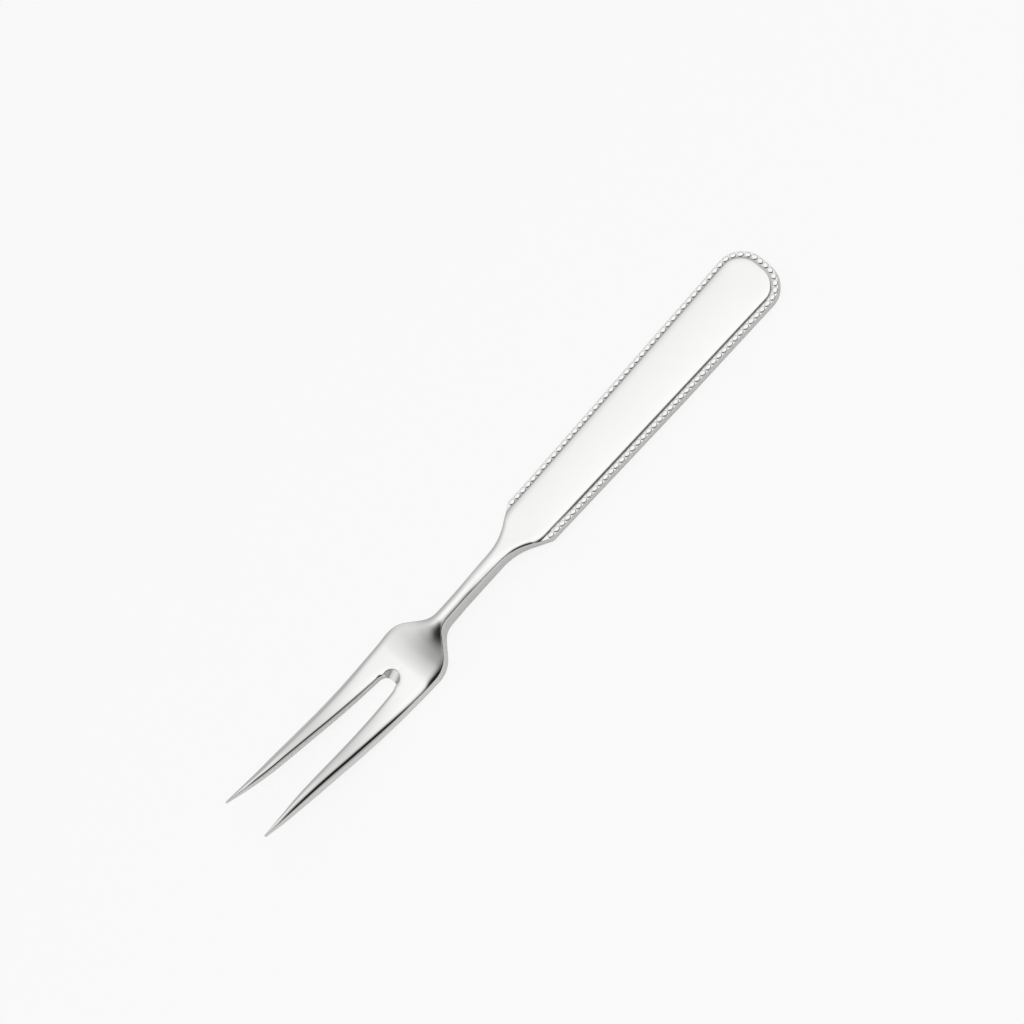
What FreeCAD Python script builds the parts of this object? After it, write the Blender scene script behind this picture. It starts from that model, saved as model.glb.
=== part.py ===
import FreeCAD, Part
import math
import os
import Sketcher

from FreeCAD import Vector

# A two-tined butter fork, struck and ground from one piece of metal.
# X runs from the tips of the tines to the end of the handle, Y across the fork, Z up.
# It lies face up: the underside of the head and of the handle's end rest on Z = 0.
# The stations along X are lengths of the fork's own parts, added up from the tips.

document = FreeCAD.newDocument("butter_fork")
sheet = document.addObject("Spreadsheet::Sheet", "size")

# Every size is in millimetres. A "half" is a half width, measured from the centre line.
SIZES = (
    # Lengths along the fork, one after another from the tips
    ("tine_length", 39.8),
    ("web_length", 8.4),
    ("root_length", 5.65),
    ("neck_length", 20.35),
    ("flare_length", 6.9),
    ("handle_length", 68.9),
    # Plan: tines and head
    ("tip_half", 6.05),
    ("tip_round", 0.4),
    ("tine_waist", 22.0),
    ("tine_half", 6.9),
    ("tine_sweep", 150.0),
    ("head_half", 8.2),
    ("head_round", 6.0),
    # Plan: neck and shoulders
    ("root_half", 1.5),
    ("root_round", 4.0),
    ("neck_waist", 6.5),
    ("neck_half", 1.38),
    ("neck_sweep", 120.0),
    ("flare_half", 1.75),
    ("flare_round", 12.0),
    ("shoulder_half", 6.5),
    ("shoulder_round", 0.9),
    # Plan: handle and its rounded end
    ("handle_half", 7.75),
    ("end_bevel", 3.7),
    ("bevel_round", 5.0),
    ("nose_round", 7.0),
    # The gap between the tines, and the slanted channel at its root
    ("mouth_half", 5.75),
    ("gap_bend", 10.0),
    ("gap_half", 4.2),
    ("gap_sweep", 60.0),
    ("gap_end_half", 2.15),
    ("gap_round", 2.13),
    ("channel_half", 1.9),
    ("channel_land", 0.4),
    ("channel_run", 2.25),
    # Side: heights of the underside above the table
    ("tip_rise", 6.38),
    ("tine_bend", 14.0),
    ("bend_rise", 3.28),
    ("tine_curve", 60.0),
    ("dip_curve", 120.0),
    ("neck_rise", 0.15),
    ("shoulder_rise", 0.75),
    ("flat_length", 32.0),
    ("belly_curve", 200.0),
    ("lift_curve", 30.0),
    # Side: thicknesses
    ("tip_thickness", 1.05),
    ("tine_thickness", 1.75),
    ("head_thickness", 1.45),
    ("neck_thickness", 3.0),
    ("shoulder_thickness", 1.5),
    ("end_thickness", 1.62),
    # Side: where the slope changes, set off from the stations of the plan
    ("dip_lead", 6.3),
    ("climb_lag", 0.1),
    ("lift_lag", 1.8),
    ("neck_top_lead", 0.7),
    ("neck_under_lag", 3.5),
    ("neck_fall_lead", 4.2),
    ("shoulder_under_lead", 1.1),
    ("handle_top_lag", 4.9),
    # Side: how gently it bends there
    ("climb_curve", 12.0),
    ("neck_curve", 80.0),
    ("handle_curve", 120.0),
    # The border: a ledge round the handle's raised panel, with a row of beads on it
    ("ledge_width", 1.55),
    ("ledge_depth", 0.33),
    ("panel_lead", 5.1),
    ("panel_start_half", 3.4),
    ("panel_turn", 2.2),
    ("panel_sweep", 8.0),
    ("bead_radius", 0.5),
    ("bead_sink", 0.1),
    ("bead_pitch", 1.56),
    # Broken edges, and the room that a cutting outline keeps round the fork
    ("edge_round", 0.25),
    ("under_bevel", 0.2),
    ("gap_bevel", 0.12),
    ("room", 2.0),
)

for row, (alias, number) in enumerate(SIZES, start=1):
    sheet.set("A%d" % row, alias)
    sheet.set("B%d" % row, str(number))
    sheet.setAlias("B%d" % row, alias)
document.recompute()

# Stations along X, as expressions of the sheet
GAP_END = "size.tine_length"
HEAD_END = GAP_END + " + size.web_length"
NECK_START = HEAD_END + " + size.root_length"
FLARE_START = NECK_START + " + size.neck_length"
SHOULDER = FLARE_START + " + size.flare_length"
FORK_END = SHOULDER + " + size.handle_length"
BEFORE_TIPS = "-size.room"
PAST_END = FORK_END + " + size.room"

# Heights of the top above the table, and spans that reach well past the fork
NECK_TOP = "size.neck_rise + size.neck_thickness"
HANDLE_TOP = "size.shoulder_rise + size.shoulder_thickness"
FULL_WIDTH = "2 * (size.handle_half + size.head_half)"
FULL_HEIGHT = "8 * (size.tip_rise + size.neck_rise + size.neck_thickness)"

# The share of a side that its two roundings may take between them, so that a little of it stays straight
ROUNDED_SHARE = 0.98
# A rounding counts as full, and takes its radius from the sheet, from this share of that radius
FULL_ROUNDING = 0.999999


def value(expression):
    """The number that an expression of the sheet gives."""
    return float(sheet.evalExpression(expression))


def origin_plane(body, role):
    for feature in body.Origin.OriginFeatures:
        if feature.Role == role:
            return feature
    raise ValueError("no plane " + role)


def new_sketch(body, name, role):
    sketch = body.newObject("Sketcher::SketchObject", name)
    sketch.AttachmentSupport = (origin_plane(body, role), [""])
    sketch.MapMode = "FlatFace"
    return sketch


def mirrored(corners):
    """The corners of one side, then the same corners on the other side of the X axis."""
    other_side = []
    for x, y, radius in reversed(corners):
        other_side.append((x, "-(" + y + ")", radius))
    return list(corners) + other_side


def fitted_reach(points, reach):
    """How far each corner's rounding reaches along its two sides, no further than the sides allow."""
    fitted = list(reach)
    for i in range(len(points)):
        j = (i + 1) % len(points)
        side = (points[j] - points[i]).Length * ROUNDED_SHARE
        wanted = reach[i] + reach[j]
        if wanted > side:
            fitted[i] = min(fitted[i], reach[i] * side / wanted)
            fitted[j] = min(fitted[j], reach[j] * side / wanted)
    return fitted


def rounded_corners(points, radii):
    """For each corner of a closed outline: where its arc starts, its middle, its end and its radius."""
    count = len(points)
    back = [(points[i - 1] - points[i]).normalize() for i in range(count)]
    ahead = [(points[(i + 1) % count] - points[i]).normalize() for i in range(count)]
    half_turn = [(math.pi - back[i].getAngle(ahead[i])) / 2 for i in range(count)]
    fitted = fitted_reach(points, [radii[i] * math.tan(half_turn[i]) for i in range(count)])
    corners = []
    for i in range(count):
        start = points[i] + back[i] * fitted[i]
        end = points[i] + ahead[i] * fitted[i]
        if radii[i] == 0:
            corners.append((start, start, end, 0.0))
            continue
        radius = fitted[i] / math.tan(half_turn[i])
        inward = (back[i] + ahead[i]).normalize()
        middle = points[i] + inward * (radius / math.cos(half_turn[i]) - radius)
        corners.append((start, middle, end, radius))
    return corners


def set_out(corners):
    """The corners' points and radii, and their arcs, from the expressions that give them."""
    points = [Vector(value(x), value(y), 0) for x, y, radius in corners]
    radii = [value(radius) for x, y, radius in corners]
    return points, radii, rounded_corners(points, radii)


def add_outline(sketch, corners):
    """Draws a closed outline through rounded corners and binds it to the sheet.

    A corner is an X, a Y and a radius, each an expression. A radius of "0" leaves the corner sharp.
    """
    points, radii, arcs = set_out(corners)
    sides = []
    for i, (start, middle, end, radius) in enumerate(arcs):
        next_start = arcs[(i + 1) % len(arcs)][0]
        sides.append(sketch.addGeometry(Part.LineSegment(end, next_start), False))
    constraints = []
    bindings = []

    def bind(constraint, expression):
        bindings.append((len(constraints), expression))
        constraints.append(constraint)

    for i, (x, y, radius) in enumerate(corners):
        before = sides[i - 1]
        after = sides[i]
        if radii[i] == 0:
            constraints.append(Sketcher.Constraint("Coincident", before, 2, after, 1))
            bind(Sketcher.Constraint("DistanceX", -1, 1, after, 1, points[i].x), x)
            bind(Sketcher.Constraint("DistanceY", -1, 1, after, 1, points[i].y), y)
            continue
        start, middle, end, turned_radius = arcs[i]
        arc = sketch.addGeometry(Part.Arc(start, middle, end), False)
        corner = sketch.addGeometry(Part.Point(points[i]), True)
        to_first = (sketch.getPoint(arc, 1) - start).Length
        to_second = (sketch.getPoint(arc, 2) - start).Length
        first = 1 if to_first < to_second else 2
        constraints.append(Sketcher.Constraint("Tangent", before, 2, arc, first))
        constraints.append(Sketcher.Constraint("Tangent", after, 1, arc, 3 - first))
        constraints.append(Sketcher.Constraint("PointOnObject", corner, 1, before))
        constraints.append(Sketcher.Constraint("PointOnObject", corner, 1, after))
        bind(Sketcher.Constraint("DistanceX", -1, 1, corner, 1, points[i].x), x)
        bind(Sketcher.Constraint("DistanceY", -1, 1, corner, 1, points[i].y), y)
        if turned_radius < radii[i] * FULL_ROUNDING:
            constraints.append(Sketcher.Constraint("Radius", arc, turned_radius))
        else:
            bind(Sketcher.Constraint("Radius", arc, turned_radius), radius)
    placed = sketch.addConstraint(constraints)
    for place, expression in bindings:
        sketch.setExpression("Constraints[%d]" % placed[place], expression)


def pad_across(body, name, corners, width):
    """Pads a side view of the fork to both sides of the centre line."""
    sketch = new_sketch(body, name + "_sketch", "XZ_Plane")
    add_outline(sketch, corners)
    pad = body.newObject("PartDesign::Pad", name)
    pad.Profile = sketch
    pad.Midplane = True
    pad.setExpression("Length", width)
    document.recompute()
    return pad


def pocket_through(body, name, outlines):
    """Pockets what lies between the outlines of a plan sketch, right through the fork."""
    before = body.Shape.Volume
    sketch = new_sketch(body, name + "_sketch", "XY_Plane")
    for corners in outlines:
        add_outline(sketch, corners)
    pocket = body.newObject("PartDesign::Pocket", name)
    pocket.Profile = sketch
    pocket.SideType = "Symmetric"
    pocket.setExpression("Length", FULL_HEIGHT)
    document.recompute()
    if not pocket.Shape.Volume < before:
        raise ValueError(name + " cuts nothing")
    return pocket


def handle_top_line(drop):
    """The top of the neck and the handle in side view, lowered by an expression."""
    neck_top = NECK_TOP + drop
    handle_top = HANDLE_TOP + drop
    return [
        (FLARE_START + " - size.neck_fall_lead", neck_top, "size.neck_curve"),
        (SHOULDER + " + size.handle_top_lag", handle_top, "size.handle_curve"),
        (PAST_END, "size.end_thickness" + drop, "0"),
    ]


def side_view():
    top = [
        (BEFORE_TIPS, "size.tip_rise + size.tip_thickness", "0"),
        ("size.tine_bend", "size.bend_rise + size.tine_thickness", "size.tine_curve"),
        (GAP_END + " - size.dip_lead", "size.head_thickness", "size.dip_curve"),
        (HEAD_END + " + size.climb_lag", "size.head_thickness", "size.climb_curve"),
        (NECK_START + " - size.neck_top_lead", NECK_TOP, "size.climb_curve"),
    ]
    underside = [
        (PAST_END, "0", "0"),
        (FORK_END + " - size.flat_length", "0", "size.belly_curve"),
        (SHOULDER + " - size.shoulder_under_lead", "size.shoulder_rise", "size.belly_curve"),
        (NECK_START + " + size.neck_under_lag", "size.neck_rise", "size.lift_curve"),
        (HEAD_END + " + size.lift_lag", "0", "size.climb_curve"),
        (GAP_END + " - size.dip_lead", "0", "size.dip_curve"),
        ("size.tine_bend", "size.bend_rise", "size.tine_curve"),
        (BEFORE_TIPS, "size.tip_rise", "0"),
    ]
    return top + handle_top_line("") + underside


def plan_side():
    """The fork's edge on its left side, from the tip to the end."""
    return [
        ("0", "size.tip_half", "size.tip_round"),
        ("size.tine_waist", "size.tine_half", "size.tine_sweep"),
        (HEAD_END, "size.head_half", "size.head_round"),
        (NECK_START, "size.root_half", "size.root_round"),
        (NECK_START + " + size.neck_waist", "size.neck_half", "size.neck_sweep"),
        (FLARE_START, "size.flare_half", "size.flare_round"),
        (SHOULDER, "size.shoulder_half", "size.shoulder_round"),
        (FORK_END + " - size.end_bevel", "size.handle_half", "size.bevel_round"),
        (FORK_END, "size.handle_half - size.end_bevel", "size.nose_round"),
    ]


def waste_frame():
    """A rectangle well outside the fork's plan."""
    margin = "2 * size.room"
    side = FULL_WIDTH
    return mirrored([("-" + margin, side, "0"), (FORK_END + " + " + margin, side, "0")])


def gap_side():
    """The left edge of the gap between the tines. Before the tips it runs on at the same slope."""
    mouth = "size.mouth_half + (size.mouth_half - size.gap_half) / size.gap_bend * size.room"
    return [
        (BEFORE_TIPS, mouth, "0"),
        ("size.gap_bend", "size.gap_half", "size.gap_sweep"),
        (GAP_END, "size.gap_end_half", "size.gap_round"),
    ]


def channel_side():
    return [
        (GAP_END + " - size.channel_land - 2 * size.room", "size.channel_half", "0"),
        (GAP_END + " - size.channel_land", "size.channel_half", "size.channel_half"),
    ]


def inset_handle_end(inset):
    """The handle's end in plan, moved inward by an expression. Its two bevels are at 45 degrees."""
    shift = "(%s) * tan(22.5)" % inset
    bevel_x = "%s - size.end_bevel - %s" % (FORK_END, shift)
    bevel_y = "size.handle_half - (%s)" % inset
    nose_y = "size.handle_half - size.end_bevel - %s" % shift
    return [
        (bevel_x, bevel_y, "size.bevel_round - (%s)" % inset),
        ("%s - (%s)" % (FORK_END, inset), nose_y, "size.nose_round - (%s)" % inset),
    ]


def panel_side():
    """The raised panel's edge: it leaves the neck's flare near the shoulder and runs beside the edge."""
    outside = "size.handle_half + size.head_half"
    leaves_flare = SHOULDER + " - size.panel_lead"
    return [
        (NECK_START, outside, "0"),
        (leaves_flare, outside, "0"),
        (leaves_flare, "size.panel_start_half", "0"),
        (SHOULDER + " - size.panel_turn", "size.shoulder_half - size.ledge_width", "size.panel_sweep"),
    ] + inset_handle_end("size.ledge_width")


def cut_channel(body):
    """The half-round channel at the gap's root, which leans towards the neck as it rises."""
    before = body.Shape.Volume
    sketch = new_sketch(body, "channel_sketch", "XY_Plane")
    add_outline(sketch, mirrored(channel_side()))
    channel = body.newObject("PartDesign::Pocket", "root_channel")
    channel.Profile = sketch
    channel.UseCustomVector = True
    channel.setExpression("Direction.x", "size.channel_run")
    channel.setExpression("Direction.y", "0")
    channel.setExpression("Direction.z", "size.head_thickness")
    channel.setExpression("Length", "2 * size.head_thickness")
    document.recompute()
    if not channel.Shape.Volume < before:
        raise ValueError("the channel cuts nothing")


# A face is upright where its normal's Z is under this, and two faces meet sharply under this cosine
UPRIGHT = 0.05
SHARP = 0.5
PROBE = 0.02


def rim_side(shape, edge):
    """1 where an upright wall meets the top in an outward corner at the edge, -1 for the underside, or 0."""
    middle = edge.valueAt((edge.FirstParameter + edge.LastParameter) / 2)
    faces = shape.ancestorsOfType(edge, Part.Face)
    if len(faces) != 2:
        return 0
    normals = []
    for face in faces:
        u, v = face.Surface.parameter(middle)
        normals.append(face.normalAt(u, v))
    level = [normal for normal in normals if abs(normal.z) > UPRIGHT]
    if len(level) != 1 or abs(normals[0].dot(normals[1])) > SHARP:
        return 0
    behind_other = Part.Vertex(middle - normals[1] * PROBE)
    if faces[0].distToShape(behind_other)[0] > PROBE / 2:
        return 0
    return 1 if level[0].z > 0 else -1


def rims(shape, sides):
    """The names of the body's outward rims on the top (1), the underside (-1) or both."""
    edges = enumerate(shape.Edges, start=1)
    return ["Edge%d" % i for i, edge in edges if rim_side(shape, edge) in sides]


def round_rims(body, name, sides, radius):
    base = body.Tip
    rounding = body.newObject("PartDesign::Fillet", name)
    rounding.Base = (base, rims(base.Shape, sides))
    rounding.setExpression("Radius", radius)
    document.recompute()


def bevel_rims(body, name, sides, size):
    base = body.Tip
    bevel = body.newObject("PartDesign::Chamfer", name)
    bevel.Base = (base, rims(base.Shape, sides))
    bevel.setExpression("Size", size)
    document.recompute()


def make_blank():
    """The fork's body before its border is struck."""
    body = document.addObject("PartDesign::Body", "blank")
    pad_across(body, "side_form", side_view(), FULL_WIDTH)
    pocket_through(body, "plan_trim", [waste_frame(), mirrored(plan_side())])
    round_rims(body, "upper_rounding", (1,), "size.edge_round")
    bevel_rims(body, "under_bevel", (-1,), "size.under_bevel")
    pocket_through(body, "tine_gap", [mirrored(gap_side())])
    bevel_rims(body, "gap_bevel", (1, -1), "size.gap_bevel")
    cut_channel(body)
    return body


def ledge_view():
    """Side view of what the striking die presses away: all that lies above the ledge."""
    above = "size.tip_rise + " + NECK_TOP
    ledge = handle_top_line(" - size.ledge_depth")
    start = ledge[0][0] + " - 2 * size.room"
    return [(start, ledge[0][1], "0")] + ledge + [(PAST_END, above, "0"), (start, above, "0")]


def make_border_waste():
    """The waste above the ledge, left standing outside the raised panel only."""
    body = document.addObject("PartDesign::Body", "border_waste")
    pad_across(body, "above_ledge", ledge_view(), FULL_WIDTH)
    pocket_through(body, "panel_clearance", [mirrored(panel_side())])
    return body


def make_body():
    body = make_blank()
    waste = make_border_waste()
    before = body.Shape.Volume
    border = body.newObject("PartDesign::Boolean", "border_ledge")
    border.setObjects([waste])
    border.Type = "Cut"
    document.recompute()
    if not body.Shape.Volume < before:
        raise ValueError("the border cuts nothing")
    return body


def bead_path():
    """The line in plan that the beads follow along the middle of the ledge, from shoulder to shoulder."""
    middle = "size.ledge_width / 2"
    start = ("%s + size.bead_radius" % SHOULDER, "size.shoulder_half - %s" % middle, "0")
    points, radii, arcs = set_out(mirrored([start] + inset_handle_end(middle)))
    edges = []
    last = points[0]
    for arc_start, arc_middle, arc_end, radius in arcs[1:-1]:
        edges.append(Part.LineSegment(last, arc_start).toShape())
        edges.append(Part.Arc(arc_start, arc_middle, arc_end).toShape())
        last = arc_end
    edges.append(Part.LineSegment(last, points[-1]).toShape())
    return Part.Wire(edges)


def ledge_height(x):
    """The height of the ledge at a station, read from the side view of the pressed waste."""
    outline = document.getObject("above_ledge_sketch").Shape
    upright = Part.LineSegment(Vector(x, 0, 0), Vector(x, 0, value(NECK_TOP))).toShape()
    heights = [vertex.Z for vertex in outline.section(upright).Vertexes]
    return min(heights)


# A bead is a dome of flat facets: rings of corners at these latitudes in degrees, closed by a flat crown
BEAD_LATITUDES = (-20, 25, 62)
BEAD_SIDES = 8


def make_bead(centre):
    """One bead round a centre, cut in facets so that the long row stays light."""
    radius = value("size.bead_radius")
    rings = []
    for latitude in BEAD_LATITUDES:
        across = radius * math.cos(math.radians(latitude))
        height = radius * math.sin(math.radians(latitude))
        ring = []
        for i in range(BEAD_SIDES):
            turn = 2 * math.pi * i / BEAD_SIDES
            ring.append(centre + Vector(across * math.cos(turn), across * math.sin(turn), height))
        rings.append(ring)
    floor = list(reversed(rings[0]))
    faces = [Part.Face(Part.makePolygon(ring + ring[:1])) for ring in (floor, rings[-1])]
    for lower, upper in zip(rings, rings[1:]):
        for i in range(BEAD_SIDES):
            j = (i + 1) % BEAD_SIDES
            faces.append(Part.Face(Part.makePolygon([lower[i], lower[j], upper[j], upper[i], lower[i]])))
    return Part.Solid(Part.Shell(faces))


def make_beads():
    """The beads, one solid each, sunk a little into the ledge."""
    path = bead_path()
    count = round(path.Length / value("size.bead_pitch")) + 1
    beads = []
    for place in path.discretize(Number=count):
        beads.append(make_bead(Vector(place.x, place.y, ledge_height(place.x) - value("size.bead_sink"))))
    row = document.addObject("Part::Feature", "bead_row")
    row.Shape = Part.makeCompound(beads)
    return row


def make_fork():
    """The whole fork, set with the middle of its length on the origin."""
    fork = document.addObject("Part::MultiFuse", "fork")
    fork.Label = "butter_fork"
    fork.Shapes = [make_body(), make_beads()]
    fork.setExpression("Placement.Base.x", "-(" + FORK_END + ") / 2")
    document.recompute()
    return fork


def check_document(fork):
    """Stops with a message where any object of the document failed or the fork isn't one sound solid."""
    for thing in document.Objects:
        if "Invalid" in thing.State or "Error" in thing.State:
            raise ValueError(thing.Name + " failed")
    shape = fork.Shape
    if shape.isNull() or not shape.isValid() or len(shape.Solids) != 1:
        raise ValueError(fork.Label + " isn't one sound solid")


fork = make_fork()
check_document(fork)
os.makedirs("parts", exist_ok=True)
fork.Shape.exportStep("parts/%s.step" % fork.Label)
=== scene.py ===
import math

import bmesh
import bpy
import numpy as np
from mathutils import Matrix, Vector


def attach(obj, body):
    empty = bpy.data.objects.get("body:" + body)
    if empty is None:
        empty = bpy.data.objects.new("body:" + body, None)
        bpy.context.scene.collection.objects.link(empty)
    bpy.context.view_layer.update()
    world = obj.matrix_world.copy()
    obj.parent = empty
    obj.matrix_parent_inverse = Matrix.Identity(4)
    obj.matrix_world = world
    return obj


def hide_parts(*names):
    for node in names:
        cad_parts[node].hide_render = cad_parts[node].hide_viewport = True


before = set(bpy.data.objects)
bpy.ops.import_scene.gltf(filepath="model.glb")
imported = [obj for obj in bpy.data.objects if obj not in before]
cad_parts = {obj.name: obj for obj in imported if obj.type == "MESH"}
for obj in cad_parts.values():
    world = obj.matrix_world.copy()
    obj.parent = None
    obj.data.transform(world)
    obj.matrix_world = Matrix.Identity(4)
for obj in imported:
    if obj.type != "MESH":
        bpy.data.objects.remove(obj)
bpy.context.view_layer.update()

# The butter fork's finished surface. Lengths are in millimetres, with X from the tips of the tines to
# the end of the handle, until place_in_frame() moves the points into the row's frame in metres.
# Only the side with Y above 0 is set out. The other side is its mirror image.

LENGTH = 150.0
MM = 0.001

# Plan, as corners (x, y, radius)
TIP_MIDDLE = (0.0, 5.9, 0.0)
OUTER_EDGE = (
    TIP_MIDDLE,
    (0.0, 6.05, 0.1),
    (22.0, 7.15, 150.0),
    (48.2, 8.2, 6.0),
    (53.85, 1.62, 4.0),
    (60.35, 1.5, 120.0),
    (74.2, 1.85, 12.0),
    (81.1, 6.5, 0.9),
    (146.3, 7.75, 5.0),
    (150.0, 4.05, 7.0),
    (150.0, 0.0, 0.0),
)
GAP_EDGE = (
    TIP_MIDDLE,
    (0.0, 5.75, 0.1),
    (10.0, 4.2, 60.0),
    (39.8, 2.15, 1.96),
    (39.8, 0.0, 0.0),
)
PANEL_EDGE = (
    (76.0, 3.4, 0.0),
    (78.9, 4.95, 8.0),
    (145.66, 6.2, 3.45),
    (148.45, 3.41, 5.45),
    (148.45, 0.0, 0.0),
)
BEAD_LINE = (
    (81.6, 5.725, 0.0),
    (145.98, 6.975, 4.225),
    (149.225, 3.729, 6.225),
    (149.225, 0.0, 0.0),
)
# The channel that slants up out of the gap's root
CHANNEL_HALF = 1.9
CHANNEL_END = 41.65

# Side view, as corners (x, z, radius)
TOP = (
    (-2.0, 7.43, 0.0),
    (14.0, 5.03, 60.0),
    (33.5, 1.45, 120.0),
    (45.4, 1.45, 30.0),
    (50.6, 2.42, 8.0),
    (53.3, 3.15, 8.0),
    (70.0, 3.15, 80.0),
    (86.0, 2.25, 120.0),
    (152.0, 1.62, 0.0),
)
UNDERSIDE = (
    (-2.0, 7.2, 0.0),
    (4.5, 5.12, 20.0),
    (14.0, 3.28, 60.0),
    (33.5, 0.0, 120.0),
    (50.0, 0.0, 12.0),
    (57.35, 0.15, 30.0),
    (80.0, 0.75, 200.0),
    (118.0, 0.0, 200.0),
    (152.0, 0.0, 0.0),
)

# The longest step and the largest turn between two points of a rounded corner
ARC_STEP = 0.1
ARC_TURN = math.radians(2.0)
# A line's direction at a place is measured between the points this far before and after it
DIRECTION_REACH = 0.02


def unit(vector):
    return vector / np.linalg.norm(vector)


def rounded_line(corners):
    """Points along a line through the corners, each rounded by its radius."""
    points = [np.array(corner[:2]) for corner in corners]
    line = [points[0]]
    for i in range(1, len(points) - 1):
        back = unit(points[i - 1] - points[i])
        ahead = unit(points[i + 1] - points[i])
        turn = math.pi - math.acos(back @ ahead)
        radius = corners[i][2]
        centre = points[i] + unit(back + ahead) * radius / math.cos(turn / 2)
        spoke = points[i] + back * radius * math.tan(turn / 2) - centre
        across = np.array((-spoke[1], spoke[0]))
        sense = math.copysign(turn, ahead[1] * back[0] - ahead[0] * back[1])
        steps = math.ceil(max(radius * turn / ARC_STEP, turn / ARC_TURN))
        for angle in np.linspace(0.0, -sense, steps + 1):
            line.append(centre + spoke * math.cos(angle) + across * math.sin(angle))
    line.append(points[-1])
    return np.array(line)


class Line:
    """A line in plan that is walked by its length."""

    def __init__(self, points):
        self.points = points
        steps = np.linalg.norm(np.diff(points, axis=0), axis=1)
        self.walked = np.concatenate(((0.0,), np.cumsum(steps)))
        self.length = self.walked[-1]

    def at(self, distance):
        x = np.interp(distance, self.walked, self.points[:, 0])
        y = np.interp(distance, self.walked, self.points[:, 1])
        return np.stack((x, y), axis=-1)

    def left_of(self, distance):
        """The unit direction to the left of the line's own direction."""
        ahead = self.at(distance + DIRECTION_REACH) - self.at(distance - DIRECTION_REACH)
        ahead /= np.linalg.norm(ahead, axis=-1, keepdims=True)
        return np.stack((-ahead[..., 1], ahead[..., 0]), axis=-1)

    def reaching(self, x):
        """The distance at which the line first comes to a station."""
        first = int(np.argmax(self.points[:, 0] >= x))
        if first == 0:
            return 0.0
        before, after = self.points[first - 1, 0], self.points[first, 0]
        share = (x - before) / (after - before)
        return self.walked[first - 1] + share * (self.walked[first] - self.walked[first - 1])


def blend(x, low, high):
    """A smooth step from 0 at low to 1 at high."""
    share = np.clip((x - low) / (high - low), 0.0, 1.0)
    return share * share * (3.0 - 2.0 * share)


# Lines and tables along the fork are held at these stations, and each is eased over EASING of them to
# both sides, so that no kink shows in the polish
FIRST_STATION = -8.0
LAST_STATION = 158.0
STATION_STEP = 0.1
STATIONS = np.arange(FIRST_STATION, LAST_STATION, STATION_STEP)
EASING = 21


def eased(stations, sizes):
    """The sizes between the stations, without kinks, at each of STATIONS."""
    padded = np.pad(np.interp(STATIONS, stations, sizes), EASING, mode="edge")
    # The window's first and last weights are zero, so they are left out
    weights = np.hanning(2 * EASING + 3)[1:-1]
    return np.convolve(padded, weights / weights.sum(), mode="valid")


def eased_line(corners):
    line = rounded_line(corners)
    return eased(line[:, 0], line[:, 1])


def along(sizes, x):
    return np.interp(x, STATIONS, sizes)


TOP_LINE = eased_line(TOP)
UNDERSIDE_LINE = eased_line(UNDERSIDE)


def top_line(x):
    return along(TOP_LINE, x)


def underside_line(x):
    return along(UNDERSIDE_LINE, x)


# How deep the border's ledge lies at the panel's foot, and the hollow there: its slope at the foot, and
# the distance from the foot at which it turns level
LEDGE_DEPTH = 0.2
HOLLOW_SLOPE = 0.42
HOLLOW_WIDTH = 0.75


def ledge_height(x, from_panel):
    reach = np.minimum(from_panel, HOLLOW_WIDTH)
    return top_line(x) - LEDGE_DEPTH - HOLLOW_SLOPE * (reach - reach ** 2 / (2.0 * HOLLOW_WIDTH))


# How far the head's rise to the neck lags behind away from the centre line, per square millimetre of Y,
# and the stations between which this sets in and ends
FAN = 0.015
FAN_START = (43.0, 48.0)
FAN_END = (53.0, 56.0)
# The crown across a tine, per millimetre of its width, and where the tines pass into the head
TINE_CROWN = 0.03
TINE_END = (30.0, 41.0)
# The panel's crown, the half width that it is measured over, and where it sets in and ends
PANEL_CROWN = 0.11
PANEL_HALF = 7.0
PANEL_START = (76.0, 86.0)
PANEL_END = (139.0, 148.4)
# The polished top falls away softly within these distances of the outer edge and of the gap
ROLL_WIDTH = 1.25
GAP_ROLL_WIDTH = 0.8
# Nothing is divided by a width below this
LEAST_WIDTH = 0.01

# Sizes that change along the fork, each from stations and the size at them.
# The crown of the head and the neck, per square millimetre of Y
BODY_CROWN = eased(
    (36.0, 44.0, 48.0, 50.0, 51.5, 53.0, 54.5, 61.0, 66.0, 75.0),
    (0.001, 0.0015, 0.0015, 0.005, 0.012, 0.045, 0.115, 0.115, 0.065, 0.0),
)
# How far the top falls away at the outer edge and at the gap
EDGE_ROLL = eased(
    (0.0, 4.0, 8.0, 18.0, 26.0, 33.0, 40.0, 46.0, 49.0, 65.0, 71.0, 76.0, 84.0),
    (0.0, 0.2, 0.3, 0.44, 0.42, 0.32, 0.22, 0.18, 0.0, 0.0, 0.12, 0.16, 0.05),
)
GAP_ROLL = eased((2.0, 6.0, 22.0, 30.0, 37.5, 42.5), (0.0, 0.22, 0.26, 0.2, 0.16, 0.0))
# How far the side wall leans in at its top
WALL_LEAN = eased((0.0, 10.0, 25.0, 46.0, 54.0, 70.0, 77.0), (0.05, 0.25, 0.35, 0.32, 0.12, 0.12, 0.0))
# The rounding of the top's outer edge, inwards and down
TOP_ACROSS = eased((0.0, 3.0, 46.0, 54.0, 77.0, 80.0), (0.06, 0.1, 0.14, 0.22, 0.18, 0.1))
TOP_DOWN = eased((0.0, 3.0, 46.0, 54.0, 77.0, 80.0), (0.08, 0.1, 0.14, 0.22, 0.18, 0.1))
# The rounding of the underside's outer edge, and of both edges of the gap
UNDER_ROUND = eased((0.0, 12.0, 77.0, 84.0), (0.08, 0.16, 0.16, 0.14))
GAP_ROUND = eased((0.0, 3.0, 12.0, 30.0, 38.0), (0.08, 0.16, 0.2, 0.18, 0.1))


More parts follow.
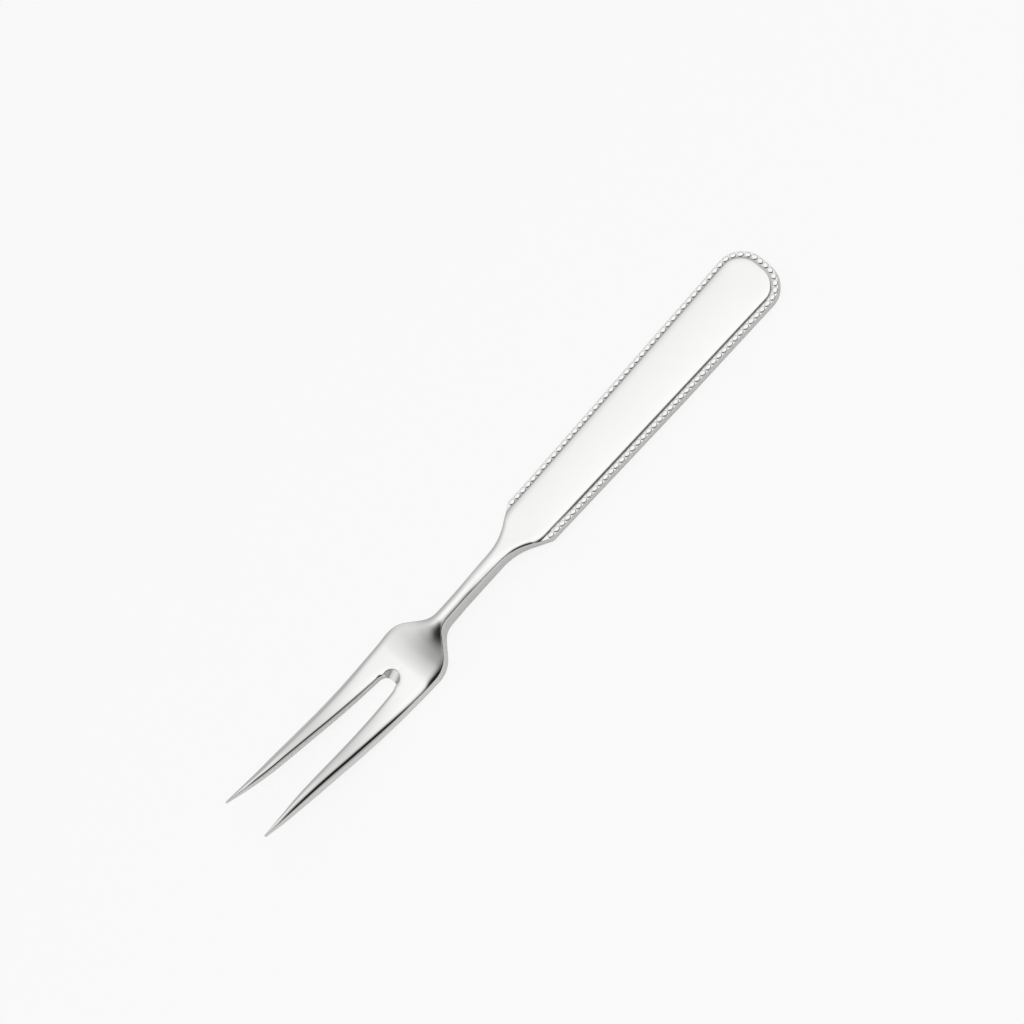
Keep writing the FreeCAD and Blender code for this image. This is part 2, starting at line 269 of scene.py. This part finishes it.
def top_height(place, from_outer, from_inner):
    """The polished top's height at places in plan, from how far they lie from the column's two ends."""
    x = place[..., 0]
    y = place[..., 1]
    fan = FAN * blend(x, *FAN_START) * (1.0 - blend(x, *FAN_END))
    height = top_line(x - fan * y * y)
    whole = from_outer + from_inner
    on_tine = 1.0 - blend(x, *TINE_END)
    across_tine = (from_outer - from_inner) / np.maximum(whole, LEAST_WIDTH)
    height -= on_tine * TINE_CROWN * whole * across_tine ** 2
    height -= along(BODY_CROWN, x) * (1.0 - on_tine) * y * y
    on_panel = blend(x, *PANEL_START) * (1.0 - blend(x, *PANEL_END))
    height += on_panel * PANEL_CROWN * (1.0 - (y / PANEL_HALF) ** 2)
    height -= along(EDGE_ROLL, x) * np.maximum(0.0, 1.0 - from_outer / ROLL_WIDTH) ** 2
    height -= along(GAP_ROLL, x) * np.maximum(0.0, 1.0 - from_inner / GAP_ROLL_WIDTH) ** 2
    return height


outer_line = Line(rounded_line(OUTER_EDGE))
panel_line = Line(rounded_line(PANEL_EDGE))
bead_line = Line(rounded_line(BEAD_LINE))
under_gap = Line(rounded_line(GAP_EDGE))

# The place along the gap's edge where the root channel's side leaves it
CORNER = int(np.argmax(under_gap.points[:, 1] <= CHANNEL_HALF))
CORNER_X = float(under_gap.points[CORNER, 0])


def make_top_gap():
    """The gap's edge at the top, with the end of the slanted channel in place of the gap's own end."""
    channel = rounded_line((
        (CORNER_X, CHANNEL_HALF, 0.0),
        (CHANNEL_END, CHANNEL_HALF, CHANNEL_HALF),
        (CHANNEL_END, 0.0, 0.0),
    ))
    return Line(np.concatenate((under_gap.points[:CORNER], channel[:-1])))


top_gap = make_top_gap()

# The stations among which the ledge's beginning is looked for
WING_STATIONS = np.linspace(77.0, 79.0, 401)


def wing_start():
    """The station at which the ledge begins, where the outer edge comes to lie outside the panel's edge."""
    outer_y = np.interp(WING_STATIONS, outer_line.points[:, 0], outer_line.points[:, 1])
    panel_y = np.interp(WING_STATIONS, panel_line.points[:, 0], panel_line.points[:, 1])
    return float(WING_STATIONS[np.argmax(outer_y >= panel_y)])


WING = wing_start()

# Columns of the mesh run from the outer edge to the gap or the centre line. Each row here gives the
# stations that a column joins on the outer edge, the top's inner line and the underside's, and how many
# columns lead up to it.
COLUMN_KEYS = (
    (0.0, 0.0, 0.0, 0),
    (0.3, 0.3, 0.3, 10),
    (2.0, 2.0, 2.0, 6),
    (36.0, 36.6, 36.6, 78),
    (39.5, CORNER_X, CORNER_X, 10),
    (44.0, CHANNEL_END, 39.8, 20),
    (46.5, 45.4, 44.6, 10),
    (50.1, 50.1, 50.1, 18),
    (52.5, 52.5, 52.5, 12),
    (55.8, 55.8, 55.8, 14),
    (70.0, 70.0, 70.0, 30),
    (WING, WING, WING, 22),
)
# The row at which the gap ends
GAP_KEY = 5
# The wing is where the ledge opens. It ends at these stations on the outer edge and on the panel's edge.
WING_COLUMNS = 16
WING_OUTER = 81.3
WING_PANEL = 80.55
# Where columns that leave the panel's edge at one station come to the centre line
PANEL_STATIONS = (WING, WING_PANEL, 142.0, 145.6)
CENTRE_STATIONS = (WING, 81.2, 141.2, 143.5)

# The border. Each bead stands in a cell of the ledge, CELL_STEPS columns long and as many rows wide.
BEADS = 94
BEAD_PITCH = 2.0 * bead_line.length / (BEADS - 1)
CELL_STEPS = 8
LEDGE_WIDTH = 1.55
# A bead's half lengths along and across the border, its height, the power that fills its dome out, and
# how far it stands outwards of the ledge's middle
BEAD_ALONG = 0.74
BEAD_ACROSS = 0.55
BEAD_HEIGHT = 0.17
BEAD_POWER = 0.4
BEAD_SHIFT = 0.12
# Rings on a bead's dome, and rings on the ledge round it
DOME_STEPS = 7
FLAT_STEPS = 3


def stretched(marks, counts):
    """Values that run evenly from each mark to the next."""
    values = [np.array(marks[:1])]
    for before, after, count in zip(marks, marks[1:], counts[1:]):
        values.append(np.linspace(before, after, count + 1)[1:])
    return np.concatenate(values)


def on_centre(x):
    return np.stack((x, np.zeros_like(x)), axis=-1)


def front_columns():
    """The columns from the tips to where the border starts."""
    counts = [key[3] for key in COLUMN_KEYS]
    walk = stretched([outer_line.reaching(key[0]) for key in COLUMN_KEYS], counts)
    outer = outer_line.at(walk)
    outer_in = -outer_line.left_of(walk)
    columns = {"outer": outer, "outer_in": outer_in, "panel": outer, "panel_in": outer_in}
    for name, place, line in (("top", 1, top_gap), ("under", 2, under_gap)):
        marks = [line.reaching(key[place]) for key in COLUMN_KEYS[:GAP_KEY]]
        walk = stretched(marks + [line.length], counts[:GAP_KEY + 1])
        inner = line.at(walk)
        inward = line.left_of(walk)
        inner[-1] = (line.points[-1, 0], 0.0)
        inward[-1] = (1.0, 0.0)
        beyond = stretched([key[place] for key in COLUMN_KEYS[GAP_KEY:]], counts[GAP_KEY:])[1:]
        columns[name] = np.concatenate((inner, on_centre(beyond)))
        columns[name + "_in"] = np.concatenate((inward, np.zeros((len(beyond), 2))))
    return columns


def handle_columns():
    """The columns along the border, from where it starts to the middle of the handle's end."""
    steps = BEADS // 2 * CELL_STEPS
    walk = (np.arange(CELL_STEPS, steps + 1) / CELL_STEPS - 0.5) * BEAD_PITCH
    middle = bead_line.at(walk)
    outward = bead_line.left_of(walk)
    outward[-1] = (1.0, 0.0)
    outer = middle + outward * LEDGE_WIDTH / 2.0
    panel = middle - outward * LEDGE_WIDTH / 2.0

    # The wing and the first bead's cell, where the columns fan round the shoulder
    outer_marks = [outer_line.reaching(x) for x in (WING, WING_OUTER, outer[0, 0])]
    panel_marks = [panel_line.reaching(x) for x in (WING, WING_PANEL, panel[0, 0])]
    counts = [0, WING_COLUMNS, CELL_STEPS]
    outer_walk = stretched(outer_marks, counts)[1:-1]
    panel_walk = stretched(panel_marks, counts)[1:-1]
    outer = np.concatenate((outer_line.at(outer_walk), outer))
    panel = np.concatenate((panel_line.at(panel_walk), panel))
    outer[-1, 1] = 0.0
    panel[-1, 1] = 0.0

    inner = on_centre(np.interp(panel[:, 0], PANEL_STATIONS, CENTRE_STATIONS))
    still = np.zeros_like(inner)
    return {
        "outer": outer,
        "outer_in": np.concatenate((-outer_line.left_of(outer_walk), -outward)),
        "panel": panel,
        "panel_in": np.concatenate((-panel_line.left_of(panel_walk), -outward)),
        "top": inner,
        "top_in": still,
        "under": inner,
        "under_in": still,
    }


# Steps round the top's outer edge, round the smaller edges, across the top, across the underside, and
# down the gap's wall
ROUND_STEPS = 5
SMALL_STEPS = 3
TOP_STEPS = 13
UNDER_STEPS = 8
WALL_STEPS = 3
# The share of a column's width that a rounding may take, and the share that the wall may lean in
ROUND_SHARE = 0.42
LEAN_SHARE = 0.3
# The short upright land below the slanted channel
CHANNEL_LAND = 0.28
# The rounding of the ledge's rim, the width of the ledge from which it is full, and the share of a
# narrower ledge that it may take
RIM_ROUND = 0.1
RIM_OPENING = 0.4
RIM_SHARE = 0.3


def quarter(steps):
    """The sine and one minus the cosine along a quarter turn."""
    turn = np.linspace(0.0, math.pi / 2.0, steps + 1)
    return zip(np.sin(turn), 1.0 - np.cos(turn))


class Surface:
    """The half fork's surface, as grids of points over the columns."""

    def __init__(self):
        front = front_columns()
        handle = handle_columns()
        self.columns = {name: np.concatenate((front[name], handle[name])) for name in front}
        self.border = len(front["outer"]) - 1
        self.gap_end = sum(key[3] for key in COLUMN_KEYS[:GAP_KEY + 1])
        x = self.columns["outer"][:, 0]
        self.width = np.linalg.norm(self.columns["outer"] - self.columns["top"], axis=1)
        room = ROUND_SHARE * self.width
        self.across = np.minimum(along(TOP_ACROSS, x), room)
        self.down = along(TOP_DOWN, x)
        self.under = np.minimum(along(UNDER_ROUND, x), room)
        in_gap = np.arange(len(x)) <= self.gap_end
        self.gap_round = np.where(in_gap, np.minimum(along(GAP_ROUND, x), room), 0.0)
        self.ledge = np.linalg.norm(self.columns["panel"] - self.columns["outer"], axis=1)
        self.plain = self.ledge <= 0.0
        self.rim_down = RIM_ROUND * np.clip(self.ledge / RIM_OPENING, 0.0, 1.0)
        rim_across = np.minimum(RIM_ROUND, RIM_SHARE * self.ledge)
        self.rim_share = rim_across / np.maximum(self.ledge, LEAST_WIDTH)
        self.lean_wall(x)

    def lean_wall(self, x):
        """Leans the wall in towards its top where there's no ledge.

        The rows of the rim and of the ledge lie on the wall there, at one height.
        """
        columns = self.columns
        lean = np.where(self.plain, np.minimum(along(WALL_LEAN, x), LEAN_SHARE * self.width), 0.0)
        leaning = columns["outer"] + columns["outer_in"] * lean[:, None]
        columns["panel"] = np.where(self.plain[:, None], leaning, columns["panel"])
        low = underside_line(x) + self.under
        high = self.top_point(columns["panel"], np.zeros_like(x), self.width)[:, 2] - self.down
        self.wall_height = high - LEDGE_DEPTH
        share = np.clip((self.wall_height - low) / (high - low), 0.0, 1.0)
        on_wall = columns["outer"] + columns["outer_in"] * (lean * share)[:, None]
        self.rim = np.where(self.plain[:, None], on_wall, columns["outer"])
        self.foot = np.where(self.plain[:, None], on_wall, columns["panel"])

    def top_point(self, place, from_outer, from_inner):
        return np.column_stack((place, top_height(place, from_outer, from_inner)))

    def under_rows(self):
        """From the inner line across the underside and round its outer corner to the wall."""
        columns = self.columns
        inner = columns["under"] + columns["under_in"] * self.gap_round[:, None]
        corner = columns["outer"] + columns["outer_in"] * self.under[:, None]
        rows = []
        for share in np.linspace(0.0, 1.0, UNDER_STEPS + 1):
            place = inner + (corner - inner) * share
            rows.append(np.column_stack((place, underside_line(place[:, 0]))))
        for sine, versine in list(quarter(SMALL_STEPS))[1:]:
            place = columns["outer"] + columns["outer_in"] * (self.under * (1.0 - sine))[:, None]
            height = underside_line(place[:, 0]) + self.under * versine
            rows.append(np.column_stack((place, height)))
        return rows

    def ledge_row(self, share, drop):
        """A row at a share of the way over the ledge, from its rim to the foot of the panel."""
        place = self.rim + (self.foot - self.rim) * share[:, None]
        height = ledge_height(place[:, 0], self.ledge * (1.0 - share)) - drop
        return np.column_stack((place, np.where(self.plain, self.wall_height, height)))

    def rim_rows(self):
        """Round the ledge's rim."""
        rows = []
        for sine, versine in quarter(SMALL_STEPS):
            rows.append(self.ledge_row(self.rim_share * versine, self.rim_down * (1.0 - sine)))
        return rows

    def ledge_rows(self):
        """Across the ledge, from its rim to the foot of the panel."""
        rows = []
        for even in np.linspace(0.0, 1.0, CELL_STEPS + 1):
            rows.append(self.ledge_row(self.rim_share + (1.0 - self.rim_share) * even, 0.0))
        return rows

    def top_span(self):
        """Where the top's roundings at the outer edge and at the gap end, and how far it is between."""
        corner = self.columns["panel"] + self.columns["panel_in"] * self.across[:, None]
        inner = self.columns["top"] + self.columns["top_in"] * self.gap_round[:, None]
        return corner, inner, np.linalg.norm(inner - corner, axis=1)

    def top_rows(self):
        """From the wall's or the panel's top round the edge, and across the top to the inner line."""
        rows = []
        for sine, versine in quarter(ROUND_STEPS):
            inset = self.across * versine
            place = self.columns["panel"] + self.columns["panel_in"] * inset[:, None]
            row = self.top_point(place, inset, self.width - inset)
            row[:, 2] -= self.down * (1.0 - sine)
            rows.append(row)
        corner, inner, span = self.top_span()
        for turn in np.linspace(0.0, math.pi, TOP_STEPS + 1)[1:]:
            share = (1.0 - math.cos(turn)) / 2.0
            place = corner + (inner - corner) * share
            from_inner = span * (1.0 - share) + self.gap_round
            rows.append(self.top_point(place, self.across + span * share, from_inner))
        return rows

    def gap_rows(self):
        """Down the gap's wall, from the top's inner line to the underside's."""
        top, top_in = self.columns["top"], self.columns["top_in"]
        under, under_in = self.columns["under"], self.columns["under_in"]
        whole = self.across + self.top_span()[2] + self.gap_round
        rows = []
        for sine, versine in quarter(SMALL_STEPS):
            inset = self.gap_round * (1.0 - sine)
            row = self.top_point(top + top_in * inset[:, None], whole - inset, inset)
            row[:, 2] -= self.gap_round * versine
            rows.append(row)
        wall_top = rows[-1]
        land_height = underside_line(under[:, 0]) + np.maximum(self.gap_round, CHANNEL_LAND)
        land = np.column_stack((under, land_height))
        for share in np.linspace(0.0, 1.0, WALL_STEPS + 1)[1:]:
            rows.append(wall_top + (land - wall_top) * share)
        for sine, versine in quarter(SMALL_STEPS):
            place = under + under_in * (self.gap_round * versine)[:, None]
            height = underside_line(place[:, 0]) + self.gap_round * (1.0 - sine)
            rows.append(np.column_stack((place, height)))
        return [row[:self.gap_end + 1] for row in rows]


class Shell:
    """Points and faces that are gathered from grids."""

    def __init__(self):
        self.points = []
        self.faces = []
        self.count = 0

    def add_grid(self, rows):
        """Four-sided faces between rows of points that are equally many."""
        across = len(rows[0])
        for i in range(len(rows) - 1):
            for j in range(across - 1):
                a = self.count + i * across + j
                b = a + across
                self.faces.append((a, a + 1, b + 1, b))
        self.points.append(np.concatenate(rows))
        self.count += len(rows) * across


def cell_rim(rows, first):
    """The points round one bead's cell, and the angle at which each lies seen from the cell's middle."""
    last = first + CELL_STEPS
    steps = range(CELL_STEPS)
    rim = [rows[0][first + i] for i in steps]
    rim += [rows[i][last] for i in steps]
    rim += [rows[CELL_STEPS][last - i] for i in steps]
    rim += [rows[CELL_STEPS - i][first] for i in steps]
    even = 2.0 * np.arange(CELL_STEPS) / CELL_STEPS - 1.0
    edge = np.ones(CELL_STEPS)
    along_border = np.concatenate((even, edge, -even, -edge))
    across_border = np.concatenate((-edge, even, edge, -even))
    return np.array(rim), np.arctan2(across_border, along_border)


def add_bead(shell, rows, first, place, outward):
    """One cell of the ledge with its bead: rings on the ledge in to the bead's foot, then its low dome."""
    rim, turn = cell_rim(rows, first)
    ahead = np.array((outward[1], -outward[0]))
    centre = place + outward * BEAD_SHIFT
    spokes = BEAD_ALONG * np.outer(np.cos(turn), ahead) - BEAD_ACROSS * np.outer(np.sin(turn), outward)

    def ledge_at(spots):
        return ledge_height(spots[:, 0], LEDGE_WIDTH / 2.0 + (spots - place) @ outward)

    rings = []
    slack = rim[:, 2] - ledge_at(rim[:, :2])
    for share in np.linspace(0.0, 1.0, FLAT_STEPS + 1)[:-1]:
        spots = rim[:, :2] + (centre + spokes - rim[:, :2]) * share
        rings.append(np.column_stack((spots, ledge_at(spots) + slack * (1.0 - share))))
    crown = ledge_height(centre[0], LEDGE_WIDTH) + BEAD_HEIGHT
    for latitude in np.linspace(0.0, math.pi / 2.0, DOME_STEPS + 1):
        spots = centre + spokes * max(math.cos(latitude), 0.0) ** BEAD_POWER
        risen = math.sin(latitude) ** BEAD_POWER
        rings.append(np.column_stack((spots, ledge_at(spots) * (1.0 - risen) + crown * risen)))
    shell.add_grid([np.concatenate((ring, ring[:1])) for ring in rings])


# Points this close to each other in plan, in millimetres, lie on one upright line
SAME = 1e-6
# Points of the finished mesh this close together, in metres, are joined
MERGE = 2e-7
# Faces that meet at a larger angle than this show a crisp edge
CREASE = math.radians(32.0)


def join_tip(points):
    """The upright line where the tip's two sides meet keeps only its two ends, so that the sides join."""
    seam = np.linalg.norm(points[:, :2] - np.array(TIP_MIDDLE[:2]), axis=1) < SAME
    heights = points[seam, 2]
    low, high = heights.min(), heights.max()
    points[seam, 2] = np.where(heights > (low + high) / 2.0, high, low)


def make_half():
    """The surface of the half with Y above 0, open along the centre line."""
    surface = Surface()
    shell = Shell()
    ledge = surface.ledge_rows()
    shell.add_grid(surface.under_rows() + surface.rim_rows())
    wing_end = surface.border + WING_COLUMNS
    shell.add_grid([row[surface.border:wing_end + 1] for row in ledge])
    shell.add_grid([ledge[-1]] + surface.top_rows())
    shell.add_grid(surface.gap_rows())
    for i in range(BEADS // 2):
        walked = i * BEAD_PITCH
        start = wing_end + i * CELL_STEPS
        add_bead(shell, ledge, start, bead_line.at(walked), bead_line.left_of(walked))
    points = np.concatenate(shell.points)
    join_tip(points)
    return points, shell.faces


def place_in_frame(points):
    """Millimetres from the tips to metres in the row's frame."""
    return (points - np.array((LENGTH / 2.0, 0.0, 0.0))) * MM


def make_fork(material):
    """Both halves as one closed, smoothly shaded mesh."""
    half, faces = make_half()
    points = place_in_frame(half)
    other = points * np.array((1.0, -1.0, 1.0))
    shift = len(points)
    mirrored_faces = [tuple(shift + corner for corner in reversed(face)) for face in faces]
    mesh = bpy.data.meshes.new("butter_fork_skin")
    mesh.from_pydata(np.concatenate((points, other)).tolist(), [], faces + mirrored_faces)
    work = bmesh.new()
    work.from_mesh(mesh)
    bmesh.ops.remove_doubles(work, verts=work.verts, dist=MERGE)
    bmesh.ops.recalc_face_normals(work, faces=work.faces)
    work.to_mesh(mesh)
    work.free()
    mesh.shade_smooth()
    mesh.set_sharp_from_angle(angle=CREASE)
    mesh.materials.append(material)
    skin = bpy.data.objects.new("butter_fork_skin", mesh)
    bpy.context.collection.objects.link(skin)
    return skin


class Nodes:
    """Adds nodes to a tree and links them."""

    def __init__(self, tree):
        self.tree = tree
        tree.nodes.clear()

    def add(self, kind, **settings):
        node = self.tree.nodes.new(kind)
        for name, setting in settings.items():
            setattr(node, name, setting)
        return node

    def link(self, source, target):
        self.tree.links.new(source, target)

    def fill(self, socket, source):
        if hasattr(source, "is_output"):
            self.link(source, socket)
        else:
            socket.default_value = source

    def maths(self, operation, first, second):
        node = self.add("ShaderNodeMath", operation=operation)
        self.fill(node.inputs[0], first)
        self.fill(node.inputs[1], second)
        return node.outputs[0]

    def mix(self, share, first, second):
        node = self.add("ShaderNodeMixShader")
        self.fill(node.inputs[0], share)
        self.link(first, node.inputs[1])
        self.link(second, node.inputs[2])
        return node.outputs[0]

    def noise(self, place, scale, detail):
        node = self.add("ShaderNodeTexNoise")
        node.inputs["Scale"].default_value = scale
        node.inputs["Detail"].default_value = detail
        self.link(place, node.inputs["Vector"])
        return node.outputs["Fac"]

    def ramp(self, source, low, high, to_low, to_high):
        """A smooth step of a value, from to_low at low to to_high at high."""
        node = self.add("ShaderNodeMapRange", interpolation_type="SMOOTHSTEP")
        self.fill(node.inputs["Value"], source)
        node.inputs["From Min"].default_value = low
        node.inputs["From Max"].default_value = high
        node.inputs["To Min"].default_value = to_low
        node.inputs["To Max"].default_value = to_high
        return node.outputs["Result"]


WHITE = (1.0, 1.0, 1.0, 1.0)
METAL_COLOUR = (0.86, 0.86, 0.85, 1.0)
# The haze is a change of roughness, as a ramp over its noise: from where, to where, and the two values
HAZE_SCALE = 260.0
HAZE_DETAIL = 3.0
HAZE_ROUGHNESS = (0.3, 0.7, 0.05, 0.1)
# The polishing lines are a noise that is drawn out along the fork
LINE_STRETCH = (900.0, 9000.0, 9000.0)
LINE_SCALE = 1.0
LINE_DETAIL = 2.0
LINE_STRENGTH = 0.02
LINE_DEPTH = 0.0001


def make_metal():
    """Polished metal: near a mirror, with the faint, fine lines and haze that a polishing wheel leaves."""
    material = bpy.data.materials.new("polished_metal")
    material.use_nodes = True
    nodes = Nodes(material.node_tree)
    output = nodes.add("ShaderNodeOutputMaterial")
    shader = nodes.add("ShaderNodeBsdfPrincipled")
    shader.inputs["Base Color"].default_value = METAL_COLOUR
    shader.inputs["Metallic"].default_value = 1.0
    nodes.link(shader.outputs["BSDF"], output.inputs["Surface"])
    place = nodes.add("ShaderNodeTexCoord").outputs["Object"]

    haze = nodes.noise(place, HAZE_SCALE, HAZE_DETAIL)
    nodes.link(nodes.ramp(haze, *HAZE_ROUGHNESS), shader.inputs["Roughness"])

    stretch = nodes.add("ShaderNodeMapping")
    stretch.inputs["Scale"].default_value = LINE_STRETCH
    nodes.link(place, stretch.inputs["Vector"])
    lines = nodes.noise(stretch.outputs["Vector"], LINE_SCALE, LINE_DETAIL)
    bump = nodes.add("ShaderNodeBump")
    bump.inputs["Strength"].default_value = LINE_STRENGTH
    bump.inputs["Distance"].default_value = LINE_DEPTH
    nodes.link(lines, bump.inputs["Height"])
    nodes.link(bump.outputs["Normal"], shader.inputs["Normal"])
    return material


# The studio, by a direction's X, towards the handle's end, and its Y, away from the camera. A ramp is
# given as the two places that it runs between, and its values there.
# The dark screen on the camera's side reaches up to an edge in Y. The edge is a step over X, and a part
# that grows from TURN_START to TURN_END. It comes down to 0 towards the tips.
SCREEN_STEP = (-0.05, 0.12, 0.325, 0.0)
SCREEN_TURN = 0.68
TURN_START = 0.05
TURN_END = -0.3
SCREEN_END = (-0.8, -0.55, 0.0, 1.0)
# The light by how far Y lies beyond the screen's edge: from dark to bright, and a slower rise on top
TENT_EDGE = (-0.25, 0.15, 0.015, 1.14)
TENT_RISE = (-0.05, 0.38, 0.85, 1.0)
# The light falls off towards the handle's end and far away, by both together down to LEAST_FALL at
# most, and towards the tips
HANDLE_FALL = (0.1, 0.5, 1.0, 0.55)
FAR_FALL = (0.42, 0.95, 1.0, 0.35)
LEAST_FALL = 0.45
TIP_FALL = (-0.8, -0.55, 0.7, 1.0)
# The least light low on the camera's side, and low beyond the tips
FRONT_GLOW = (-0.62, -0.45, 0.45, 0.0)
TIP_GLOW = (-0.8, -0.55, 0.35, 0.0)


def tent_light(nodes, ahead, across):
    """The light of the bright tent, up to the dark screen's edge."""
    bounded = nodes.maths("MAXIMUM", nodes.maths("MINIMUM", ahead, TURN_START), TURN_END)
    turned = nodes.maths("MULTIPLY", nodes.maths("SUBTRACT", TURN_START, bounded), SCREEN_TURN)
    screen = nodes.maths("ADD", nodes.ramp(ahead, *SCREEN_STEP), turned)
    screen = nodes.maths("MULTIPLY", screen, nodes.ramp(ahead, *SCREEN_END))
    beyond = nodes.maths("SUBTRACT", across, screen)
    tent = nodes.ramp(beyond, *TENT_EDGE)
    return nodes.maths("MULTIPLY", tent, nodes.ramp(beyond, *TENT_RISE))


def light_world():
    """A studio, bright above and beyond the fork, with a dark screen on the camera's side.

    The camera itself sees white.
    """
    world = bpy.data.worlds.new("studio")
    bpy.context.scene.world = world
    world.use_nodes = True
    nodes = Nodes(world.node_tree)
    output = nodes.add("ShaderNodeOutputWorld")
    parts = nodes.add("ShaderNodeSeparateXYZ")
    nodes.link(nodes.add("ShaderNodeTexCoord").outputs["Generated"], parts.inputs[0])
    ahead = parts.outputs["X"]
    across = parts.outputs["Y"]
    tent = tent_light(nodes, ahead, across)
    fall = nodes.maths("MULTIPLY", nodes.ramp(ahead, *HANDLE_FALL), nodes.ramp(across, *FAR_FALL))
    fall = nodes.maths("MAXIMUM", fall, LEAST_FALL)
    fall = nodes.maths("MULTIPLY", fall, nodes.ramp(ahead, *TIP_FALL))
    level = nodes.maths("MULTIPLY", tent, fall)
    level = nodes.maths("MAXIMUM", level, nodes.ramp(across, *FRONT_GLOW))
    level = nodes.maths("MAXIMUM", level, nodes.ramp(ahead, *TIP_GLOW))
    shown = nodes.maths("MAXIMUM", level, nodes.add("ShaderNodeLightPath").outputs["Is Camera Ray"])
    light = nodes.add("ShaderNodeBackground")
    light.inputs["Color"].default_value = WHITE
    nodes.link(shown, light.inputs["Strength"])
    nodes.link(light.outputs["Background"], output.inputs["Surface"])


LAMP_PLACE = Vector((0.0, -0.3, 0.9))
LAMP_SIZE = 0.9
LAMP_POWER = 3.2


def add_lamp():
    """A wide soft lamp overhead, which lights the floor and isn't mirrored in the metal."""
    data = bpy.data.lights.new("overhead", "AREA")
    data.shape = "DISK"
    data.size = LAMP_SIZE
    data.energy = LAMP_POWER
    lamp = bpy.data.objects.new("overhead", data)
    lamp.location = LAMP_PLACE
    lamp.rotation_euler = LAMP_PLACE.to_track_quat("Z", "Y").to_euler()
    lamp.visible_glossy = False
    bpy.context.collection.objects.link(lamp)


FLOOR_COLOUR = (0.8, 0.8, 0.8, 1.0)
FLOOR_GLOW = 0.85
FLOOR_HALF = 3.0
# The floor lies a hair below the flat underside, so that the two don't coincide
FLOOR_HEIGHT = -0.00005


def make_floor():
    """A pale floor that the camera and the metal see as white, with the fork's shadow on it."""
    material = bpy.data.materials.new("floor")
    material.use_nodes = True
    nodes = Nodes(material.node_tree)
    output = nodes.add("ShaderNodeOutputMaterial")
    rays = nodes.add("ShaderNodeLightPath").outputs
    pale = nodes.add("ShaderNodeBsdfDiffuse")
    pale.inputs["Color"].default_value = FLOOR_COLOUR
    white = nodes.add("ShaderNodeBsdfDiffuse")
    white.inputs["Color"].default_value = WHITE
    mirrored = nodes.maths("MAXIMUM", rays["Is Glossy Ray"], rays["Is Transmission Ray"])
    seen = nodes.maths("MAXIMUM", mirrored, rays["Is Camera Ray"])
    surface = nodes.mix(seen, pale.outputs[0], white.outputs[0])
    glow = nodes.add("ShaderNodeEmission")
    glow_share = nodes.maths("MULTIPLY", rays["Is Camera Ray"], FLOOR_GLOW)
    surface = nodes.mix(glow_share, surface, glow.outputs[0])
    nodes.link(surface, output.inputs["Surface"])
    mesh = bpy.data.meshes.new("floor")
    plan = ((-1.0, -1.0), (1.0, -1.0), (1.0, 1.0), (-1.0, 1.0))
    corners = [(x * FLOOR_HALF, y * FLOOR_HALF, FLOOR_HEIGHT) for x, y in plan]
    mesh.from_pydata(corners, [], [(0, 1, 2, 3)])
    mesh.materials.append(material)
    floor = bpy.data.objects.new("floor", mesh)
    bpy.context.collection.objects.link(floor)


# The camera: the direction to it, its roll, its lens and sensor in millimetres, and in metres the width
# that it frames at its target and where the target lies
TO_CAMERA = Vector((-0.053, -0.52, 0.853)).normalized()
ROLL = math.radians(48.2)
LENS = 600.0
SENSOR = 36.0
FRAME_WIDTH = 0.2007
AIM_RIGHT = 0.00123
AIM_UP = 0.00545
AIM_HEIGHT = 0.004
NEAREST_SEEN = 0.05
FARTHEST_SEEN = 20.0


def add_camera():
    """Looks down on the fork from beside its handle, rolled so that the handle points up to the right."""
    along_fork = Vector((1.0, 0.0, 0.0))
    along_fork = (along_fork - TO_CAMERA * along_fork.dot(TO_CAMERA)).normalized()
    right = Matrix.Rotation(-ROLL, 3, TO_CAMERA) @ along_fork
    up = TO_CAMERA.cross(right)
    data = bpy.data.cameras.new("camera")
    data.lens = LENS
    data.sensor_width = SENSOR
    data.clip_start = NEAREST_SEEN
    data.clip_end = FARTHEST_SEEN
    distance = FRAME_WIDTH * LENS / SENSOR
    target = Vector((0.0, 0.0, AIM_HEIGHT)) + right * AIM_RIGHT + up * AIM_UP
    place = target + TO_CAMERA * distance
    camera = bpy.data.objects.new("camera", data)
    rotation = Matrix((right, up, TO_CAMERA)).transposed().to_4x4()
    camera.matrix_world = Matrix.Translation(place) @ rotation
    bpy.context.collection.objects.link(camera)
    bpy.context.scene.camera = camera


def set_view():
    settings = bpy.context.scene.view_settings
    settings.view_transform = "Standard"


fork = make_fork(make_metal())
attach(fork, "root")
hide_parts("butter_fork")
light_world()
add_lamp()
make_floor()
add_camera()
set_view()
